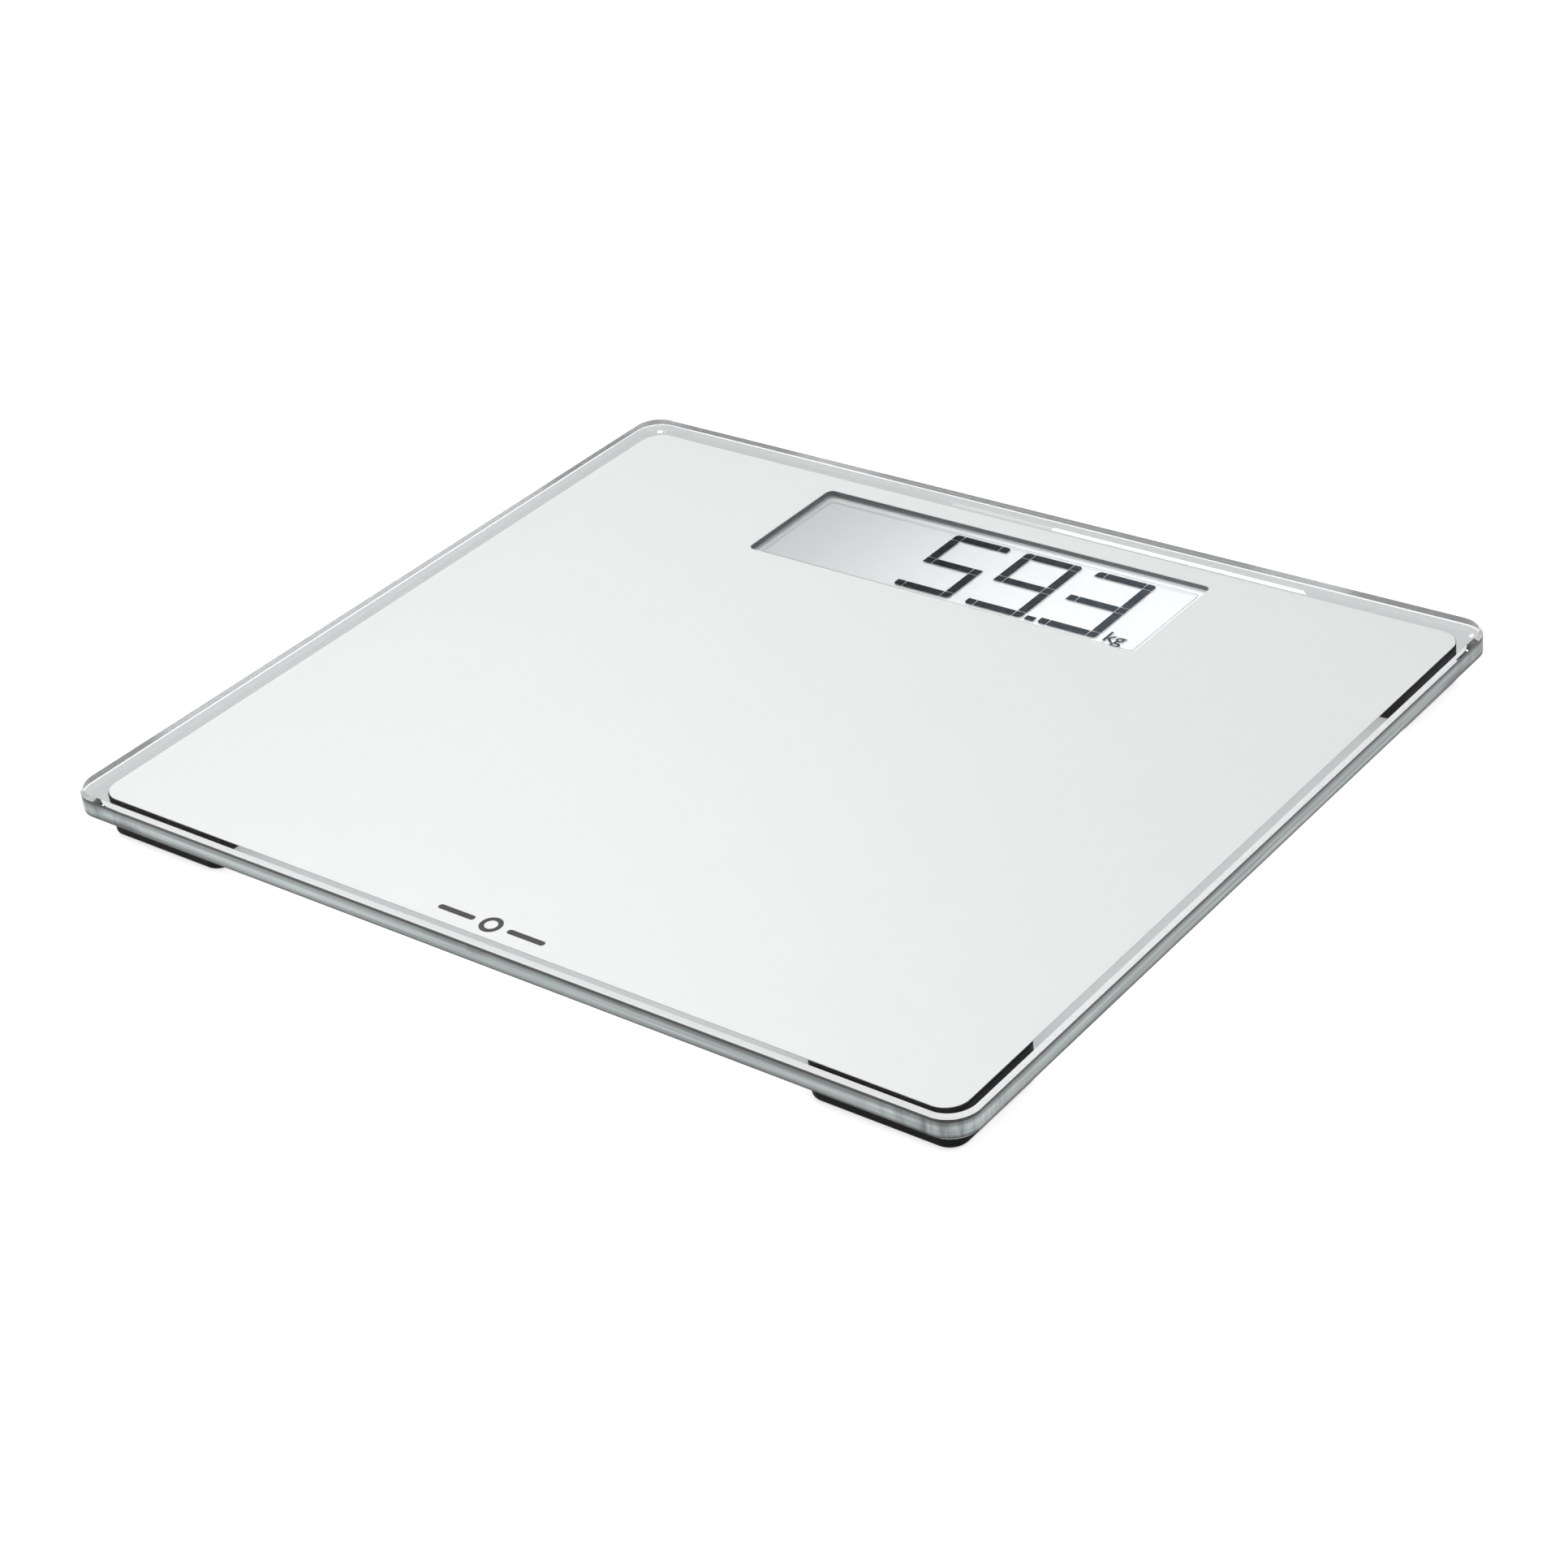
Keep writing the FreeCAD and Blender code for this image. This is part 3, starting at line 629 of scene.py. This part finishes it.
def make_materials(colours, chamfer):
    grain = moulded_grain()
    lines = brushed_lines()
    white = tuple(colours.print_white)
    black = tuple(colours.foot_black)
    shell = tuple(colours.housing_white)
    metal = {"Metallic": 1.0}
    platform_glass("clear_glass", PLATE_LOW.z, PLATE_HIGH.z - chamfer)
    glass_finish("lcd_glass", (1.0, 1.0, 1.0), (0.99, 0.995, 0.995), 0.01, 1.12, (0.995, 0.995, 0.995))
    glass_finish("polariser", (0.99, 0.99, 0.995), (0.98, 0.98, 0.985), 0.03, 1.10, (0.985, 0.985, 0.985))
    grained("white_print", grain, white, shaded(white, 0.985), 900.0, 0.35, 0.06)
    grained("mark_dark", grain, (0.020, 0.020, 0.022), (0.012, 0.012, 0.013), 3000.0, 0.5, 0.1)
    silver_with_painted_glow("silver_film")
    digit_finish("digit_dark", colours.digit_dark)
    striped_rubber("soft_rubber")
    board_mask("board_green")
    grained("component_black", grain, (0.030, 0.030, 0.032), (0.016, 0.016, 0.017), 4000.0, 0.5, 0.2, 0.2)
    grained("screw_steel", lines, (0.62, 0.62, 0.60), (0.42, 0.42, 0.42), 6000.0, 0.32, 0.2, 0.1, **metal)
    grained("cell_steel", lines, (0.52, 0.53, 0.54), (0.36, 0.37, 0.38), 5000.0, 0.35, 0.25, 0.15, **metal)
    grained("gauge_coating", grain, (0.80, 0.80, 0.77), (0.70, 0.70, 0.67), 1500.0, 0.45, 0.1, 0.3)
    grained("cable_sheath", grain, (0.66, 0.66, 0.63), (0.58, 0.58, 0.55), 2600.0, 0.42, 0.12, 0.1)
    grained("foam_tape", grain, (0.80, 0.80, 0.78), (0.60, 0.60, 0.58), 2200.0, 0.85, 0.1, 0.7, 0.1 * MM)
    grained("housing_white", grain, shell, shaded(shell, 0.9), 2400.0, 0.48, 0.12, 0.35, 0.05 * MM)
    grained("battery_steel", lines, (0.66, 0.66, 0.66), (0.5, 0.5, 0.5), 4500.0, 0.25, 0.15, 0.08, **metal)
    grained("contact_nickel", lines, (0.62, 0.60, 0.55), (0.45, 0.44, 0.40), 5200.0, 0.3, 0.2, 0.1, **metal)
    grained("holder_black", grain, (0.030, 0.030, 0.030), (0.018, 0.018, 0.018), 2600.0, 0.5, 0.12, 0.3)
    grained("button_grey", grain, (0.13, 0.135, 0.14), (0.10, 0.104, 0.108), 3000.0, 0.6, 0.1, 0.3)
    grained("bezel_grey", grain, (0.21, 0.215, 0.22), (0.16, 0.164, 0.168), 2600.0, 0.42, 0.1, 0.2)
    grained("seal_grey", grain, (0.66, 0.66, 0.67), (0.58, 0.58, 0.59), 2600.0, 0.5, 0.1)
    dull = {"Specular_IOR_Level": 0.06}
    grained("foot_rubber", grain, shaded(black, 1.5), black, 2800.0, 0.72, 0.12, 0.5, 0.06 * MM, **dull)
    grained("foot_black", grain, shaded(black, 1.6), black, 2200.0, 0.52, 0.14, 0.3, 0.04 * MM, **dull)
    foil = {"Metallic": 0.8}
    grained("label_silver", lines, (0.74, 0.74, 0.75), (0.62, 0.62, 0.64), 3500.0, 0.35, 0.12, 0.05, **foil)


# ---------------------------------------------------------------- operators: one for each piece or group


class SCALE_OT_finishes(bpy.types.Operator):
    """Makes the materials and gives each CAD node the finish of its slot"""

    bl_idname = "scale_part.finishes"
    bl_label = "Finishes"

    def execute(self, context):
        make_materials(context.scene.scale_colours, context.scene.scale_sizes.glass_chamfer)
        slots = {s["node"]: s["material_slot"] for s in frame["record"]["subparts"]}
        for name, node in frame["nodes"].items():
            slot = slots[name]
            finish = "silver_film" if name == "lcd_rear_glass" else slot
            dress(node, MATERIALS[finish])
        return {"FINISHED"}


class SCALE_OT_platform(bpy.types.Operator):
    """Builds the glass platform with its ground edges"""

    bl_idname = "scale_part.platform"
    bl_label = "Glass platform"

    def execute(self, context):
        sizes = context.scene.scale_sizes
        bond = 0.02 * MM  # the glass wets the print, so its face lies just inside the print's thickness
        low = Vector(PLATE_LOW) - Vector((0, 0, bond))
        top = PLATE_HIGH.z
        plate = rounded_slab("clear_platform", low, PLATE_HIGH, sizes.glass_corner, 24)
        bevel(plate, lambda e: at_height(e, top), sizes.glass_chamfer, 1)
        bevel(plate, lambda e: at_height(e, low.z), sizes.glass_low_chamfer, 1)
        smooth_faces(plate, 20)
        place(plate, MATERIALS["clear_glass"], replaces=["glass_platform"])
        return {"FINISHED"}


class SCALE_OT_display_layers(bpy.types.Operator):
    """Builds the display's clear front glass and the film on it"""

    bl_idname = "scale_part.display_layers"
    bl_label = "Display layers"

    def execute(self, context):
        gap = 0.03 * MM
        inset = 5.2 * MM
        margin = Vector((0.2 * MM, 0.2 * MM, gap))
        low, high = CELL_LOW + margin, CELL_HIGH - margin
        front = rounded_slab("display_front_glass", low, high, 0.6 * MM, 3)
        place(front, MATERIALS["lcd_glass"], replaces=["lcd_front_glass"])
        low = FILM_LOW + Vector((inset, inset, gap))
        high = FILM_HIGH - Vector((inset, inset, 0))
        film = rounded_slab("display_film", low, high, 1.2 * MM, 6)
        bevel(film, lambda e: at_height(e, high.z), 0.06 * MM, 1)
        place(film, MATERIALS["polariser"], replaces=["lcd_polariser"])
        edge = 0.3 * MM
        line_low = Vector((low.x, low.y, high.z))
        line_high = Vector((high.x, high.y, high.z + 0.02 * MM))
        line = rounded_slab("film_edge", line_low, line_high, 1.2 * MM, 6)
        inner = Vector((edge, edge, -1 * MM))
        cut(line, rounded_slab("inner", line_low + inner, line_high - inner, 0.9 * MM, 6))
        place(line, MATERIALS["seal_grey"])
        return {"FINISHED"}


# Which bars each digit shows: top, middle, bottom, then upper and lower on the left and on the right
SHOWN_BARS = {
    "5": ("top", "middle", "bottom", "left_upper", "right_lower"),
    "9": ("top", "middle", "bottom", "left_upper", "right_upper", "right_lower"),
    "3": ("top", "middle", "bottom", "right_upper", "right_lower"),
}


class SCALE_OT_reading(bpy.types.Operator):
    """Builds the reading: three digits, the point and the unit sign"""

    bl_idname = "scale_part.reading"
    bl_label = "Reading"

    thick = 0.02 * MM
    gap = 0.28 * MM

    def segment(self, low_x, low_y, high_x, high_y, rounding=None):
        """A flat bar, or a corner block with its outer corner rounded."""
        z = FILM_LOW.z - self.thick / 2
        bar = add_block("segment", (low_x, low_y, z), (high_x, high_y, z + self.thick))
        if rounding:
            side_x, side_y = rounding
            corner = Vector((high_x if side_x > 0 else low_x, high_y if side_y > 0 else low_y))
            bevel(bar, lambda e: is_upright(e) and (e.verts[0].co.xy - corner).length < 1e-6, 1.5 * MM, 5)
        return bar

    def digit(self, name, figure, x, y, sizes):
        width, height, stroke, gap = sizes.digit_width, sizes.digit_height, sizes.digit_stroke, self.gap
        rows = {"bottom": y, "middle": y + (height - stroke) / 2, "top": y + height - stroke}
        sides = {"left": x, "right": x + width - stroke}
        shown = SHOWN_BARS[figure]
        pieces = []
        for row, row_y in rows.items():
            if row in shown:
                low_x, high_x = x + stroke + gap, x + width - stroke - gap
                pieces.append(self.segment(low_x, row_y, high_x, row_y + stroke))
            for side, side_x in sides.items():
                outer = {"bottom": -1, "middle": 0, "top": 1}[row]
                rounding = (-1 if side == "left" else 1, outer) if outer else None
                pieces.append(self.segment(side_x, row_y, side_x + stroke, row_y + stroke, rounding))
        for side, side_x in sides.items():
            for part, below, above in (("lower", "bottom", "middle"), ("upper", "middle", "top")):
                if side + "_" + part in shown:
                    low_y, high_y = rows[below] + stroke + gap, rows[above] - gap
                    pieces.append(self.segment(side_x, low_y, side_x + stroke, high_y))
        return join_pieces(pieces, name)

    def unit_sign(self, x, y, height):
        deselect_all()
        bpy.ops.object.text_add(location=(x, y, FILM_LOW.z - self.thick / 2))
        sign = bpy.context.object
        sign.name = "unit_sign"
        sign.data.body = "kg"
        sign.data.size = height
        sign.data.extrude = self.thick / 2
        sign.data.offset = 0.07 * MM
        bpy.ops.object.convert(target="MESH")
        settle(sign)
        return sign

    def execute(self, context):
        sizes = context.scene.scale_sizes
        dark = MATERIALS["digit_dark"]
        base_y = 90.2 * MM
        first_x = -20.8 * MM
        names = (("digit_tens", "5"), ("digit_units", "9"), ("digit_tenths", "3"))
        for i, (name, figure) in enumerate(names):
            digit = self.digit(name, figure, first_x + i * sizes.digit_pitch, base_y, sizes)
            place(digit, dark)
        point_x = first_x + sizes.digit_pitch + sizes.digit_width + 1.3 * MM
        point_width, point_height = 3.7 * MM, 2.6 * MM
        point = self.segment(point_x, base_y, point_x + point_width, base_y + point_height)
        point.name = "decimal_point"
        place(point, dark)
        sign_x, sign_y, sign_height = 63.4 * MM, 90.3 * MM, 8.6 * MM
        place(self.unit_sign(sign_x, sign_y, sign_height), dark)
        return {"FINISHED"}


class SCALE_OT_plain_mark(bpy.types.Operator):
    """Prints a plain mark near the front edge: a ring between two short bars"""

    bl_idname = "scale_part.plain_mark"
    bl_label = "Plain mark"

    def execute(self, context):
        width = context.scene.scale_sizes.mark_width
        mid_x, mid_y = -3.5 * MM, -135.5 * MM
        ring_r, hole_share = 3.8 * MM, 0.56
        bar_start, bar_half = 6.6 * MM, 1.1 * MM
        z0, z1 = PRINT_HIGH.z, PRINT_HIGH.z + 0.015 * MM
        pieces = []
        deselect_all()
        bpy.ops.mesh.primitive_circle_add(vertices=48, radius=ring_r, location=(mid_x, mid_y, z0))
        ring = bpy.context.object
        bpy.ops.object.mode_set(mode="EDIT")
        bpy.ops.mesh.select_all(action="SELECT")
        bpy.ops.mesh.extrude_region_move()
        bpy.ops.transform.resize(value=(hole_share, hole_share, 1.0))
        bpy.ops.mesh.select_all(action="SELECT")
        bpy.ops.mesh.extrude_region_move(TRANSFORM_OT_translate={"value": (0, 0, z1 - z0)})
        bpy.ops.mesh.select_all(action="SELECT")
        bpy.ops.mesh.normals_make_consistent(inside=False)
        leave_edit()
        settle(ring)
        pieces.append(ring)
        for side in (-1, 1):
            left, right = sorted((mid_x + side * bar_start, mid_x + side * width / 2))
            bar = add_block("bar", (left, mid_y - bar_half, z0), (right, mid_y + bar_half, z1))
            bevel(bar, is_upright, 1.0 * MM, 6)
            pieces.append(bar)
        place(join_pieces(pieces, "plain_mark"), MATERIALS["mark_dark"])
        return {"FINISHED"}


class SCALE_OT_foot_pads(bpy.types.Operator):
    """Builds the rubber pads with their tread grooves"""

    bl_idname = "scale_part.foot_pads"
    bl_label = "Foot pads"

    def execute(self, context):
        first_low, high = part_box("foot_pad_front_left")
        pad = rounded_slab("tread_pad", first_low, high, 4 * MM, 8)
        bevel(pad, lambda e: at_height(e, first_low.z), 0.3 * MM, 2)
        depth, width, count = 0.5 * MM, 1.1 * MM, 7
        pitch = (high.x - first_low.x) / (count + 1)
        for i in range(count):
            x = first_low.x + (i + 1) * pitch
            low_corner = (x - width / 2, first_low.y + 3 * MM, first_low.z - 1 * MM)
            high_corner = (x + width / 2, high.y - 3 * MM, first_low.z + depth)
            cut(pad, add_block("groove", low_corner, high_corner))
        smooth_faces(pad)
        for foot in FEET:
            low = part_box("foot_pad_" + foot)[0]
            twin = copy_piece(pad, "tread_pad_" + foot, low - first_low)
            place(twin, MATERIALS["foot_rubber"], "foot_" + foot, ["foot_pad_" + foot])
        bpy.data.objects.remove(pad)
        return {"FINISHED"}


class SCALE_OT_underside(bpy.types.Operator):
    """Builds the blank label and the slide arrow on the battery cover"""

    bl_idname = "scale_part.underside"
    bl_label = "Underside trim"

    def execute(self, context):
        z = HOUSING_LOW.z
        label_low, label_high = (-10 * MM, 92 * MM, z - 0.06 * MM), (72 * MM, 124 * MM, z)
        label = rounded_slab("blank_label", label_low, label_high, 1.5 * MM, 5)
        place(label, MATERIALS["label_silver"])
        mid_x = (COVER_LOW.x + COVER_HIGH.x) / 2
        thick, proud = 0.3 * MM, 0.25 * MM
        mid = (mid_x, COVER_LOW.y + 17.9 * MM, z - proud + thick / 2)
        deselect_all()
        bpy.ops.mesh.primitive_cylinder_add(vertices=3, radius=3.2 * MM, depth=thick, location=mid)
        arrow = bpy.context.object
        arrow.name = "slide_arrow"
        arrow.rotation_euler = (0, 0, math.pi)
        settle(arrow)
        bevel(arrow, is_upright, 0.35 * MM, 3)
        bevel(arrow, lambda e: at_height(e, z - proud), 0.08 * MM, 2)
        smooth_faces(arrow)
        place(arrow, MATERIALS["housing_white"], "battery_cover")
        return {"FINISHED"}


def soft_lamp(name, place_at, size, power):
    """A rectangular lamp aimed at the middle of the stage."""
    data = bpy.data.lights.new(name, "AREA")
    data.shape = "RECTANGLE"
    data.size, data.size_y = size
    data.energy = power
    lamp = bpy.data.objects.new(name, data)
    bpy.context.scene.collection.objects.link(lamp)
    lamp.location = place_at
    lamp.rotation_euler = (-Vector(place_at)).to_track_quat("-Z", "Y").to_euler()


class SCALE_OT_stage(bpy.types.Operator):
    """Builds the pale floor, the studio light and the camera"""

    bl_idname = "scale_part.stage"
    bl_label = "Stage"

    def floor(self):
        deselect_all()
        bpy.ops.mesh.primitive_plane_add(size=12, location=(0, 0, -0.05 * MM))
        ground = bpy.context.object
        ground.name = "studio_floor"
        settle(ground)
        material, nodes, links, shader, coords = start_material("floor_paper")
        slow = noise(nodes, links, coords, 4.0, 2.0)
        pale = blend_colours(nodes, links, slow, (0.54, 0.54, 0.54), (0.56, 0.56, 0.56))
        links.new(pale, shader.inputs["Base Color"])
        shader.inputs["Roughness"].default_value = 1.0
        shader.inputs["Specular IOR Level"].default_value = 0.0
        links.new(pale, shader.inputs["Emission Color"])
        shader.inputs["Emission Strength"].default_value = 1.35
        # from underneath the paper is clear, so that the object's underside can be looked at
        side = nodes.new("ShaderNodeNewGeometry")
        clear = nodes.new("ShaderNodeBsdfTransparent")
        mix = nodes.new("ShaderNodeMixShader")
        out = next(n for n in nodes if n.type == "OUTPUT_MATERIAL")
        links.new(side.outputs["Backfacing"], mix.inputs[0])
        links.new(shader.outputs[0], mix.inputs[1])
        links.new(clear.outputs[0], mix.inputs[2])
        links.new(mix.outputs[0], out.inputs["Surface"])
        dress(ground, material)

    def lights(self):
        world = bpy.data.worlds.new("studio")
        world.use_nodes = True
        bpy.context.scene.world = world
        nodes, links = world.node_tree.nodes, world.node_tree.links
        background = next(n for n in nodes if n.type == "BACKGROUND")
        background.inputs["Color"].default_value = (1.0, 1.0, 1.0, 1)
        # a pale backdrop low down, and a dim room above it
        backdrop, room = 0.6, 0.07
        direction = axes(nodes, links, nodes.new("ShaderNodeTexCoord").outputs["Generated"])
        above = between(nodes, links, direction["Z"], 0.16, 0.36, True)
        glow = maths(nodes, links, "MULTIPLY_ADD", above, room - backdrop, backdrop)
        seen = nodes.new("ShaderNodeLightPath").outputs["Is Camera Ray"]
        links.new(maths(nodes, links, "MAXIMUM", glow, seen), background.inputs["Strength"])
        soft_lamp("overhead_soft_box", (-0.05, 0.2, 2.2), (2.4, 2.0), 22)
        soft_lamp("key_soft_box", (-0.85, 0.35, 1.8), (0.9, 0.7), 18)
        soft_lamp("front_soft_box", (-0.3, -1.1, 2.0), (1.4, 0.7), 2)
        soft_lamp("side_soft_box", (1.1, -0.2, 2.0), (1.0, 0.7), 8)

    def camera(self):
        data = bpy.data.cameras.new("main_camera")
        data.sensor_width = 36.0
        data.lens = 78.38
        data.clip_start = 0.05
        camera = bpy.data.objects.new("main_camera", data)
        bpy.context.scene.collection.objects.link(camera)
        turn = math.radians(41.35)
        rise = math.radians(31.72)
        roll = math.radians(-7.17)
        back = Vector((math.sin(turn) * math.cos(rise), -math.cos(turn) * math.cos(rise), math.sin(rise)))
        right = (-back).cross(Vector((0, 0, 1))).normalized()
        up = right.cross(-back)
        side = right * math.cos(roll) + up * math.sin(roll)
        top = up * math.cos(roll) - right * math.sin(roll)
        aim = Vector((0, 0, PLATE_LOW.z))
        sideways, downwards, distance = 1.01 * MM, 18.01 * MM, 1094.1 * MM
        where = aim + side * sideways - top * downwards + back * distance
        turned = Matrix((side, top, back)).transposed().to_4x4()
        camera.matrix_world = Matrix.Translation(where) @ turned
        bpy.context.scene.camera = camera

    def execute(self, context):
        self.floor()
        self.lights()
        self.camera()
        context.scene.view_settings.view_transform = "Standard"
        return {"FINISHED"}


class SCALE_PT_panel(bpy.types.Panel):
    """Lists the steps that build the scale"""

    bl_idname = "SCALE_PT_panel"
    bl_label = "Glass personal scale"
    bl_space_type = "VIEW_3D"
    bl_region_type = "UI"
    bl_category = "Scale"

    def draw(self, context):
        for group in (context.scene.scale_sizes, context.scene.scale_colours):
            for name in group.__annotations__:
                self.layout.prop(group, name)
        for step in STEPS:
            self.layout.operator(step.bl_idname)


STEPS = (
    SCALE_OT_stage,
    SCALE_OT_finishes,
    SCALE_OT_platform,
    SCALE_OT_display_layers,
    SCALE_OT_reading,
    SCALE_OT_plain_mark,
    SCALE_OT_foot_pads,
    SCALE_OT_underside,
)
CLASSES = (ScaleSizes, ScaleColours, *STEPS, SCALE_PT_panel)


def register():
    for item in CLASSES:
        bpy.utils.register_class(item)
    bpy.types.Scene.scale_sizes = bpy.props.PointerProperty(type=ScaleSizes)
    bpy.types.Scene.scale_colours = bpy.props.PointerProperty(type=ScaleColours)


def unregister():
    del bpy.types.Scene.scale_colours
    del bpy.types.Scene.scale_sizes
    for item in reversed(CLASSES):
        bpy.utils.unregister_class(item)


def main():
    register()
    for step in STEPS:
        group, name = step.bl_idname.split(".")
        result = getattr(getattr(bpy.ops, group), name)()
        if "FINISHED" not in result:
            raise RuntimeError(step.bl_label + " did not finish")


if __name__ == "__main__":
    main()
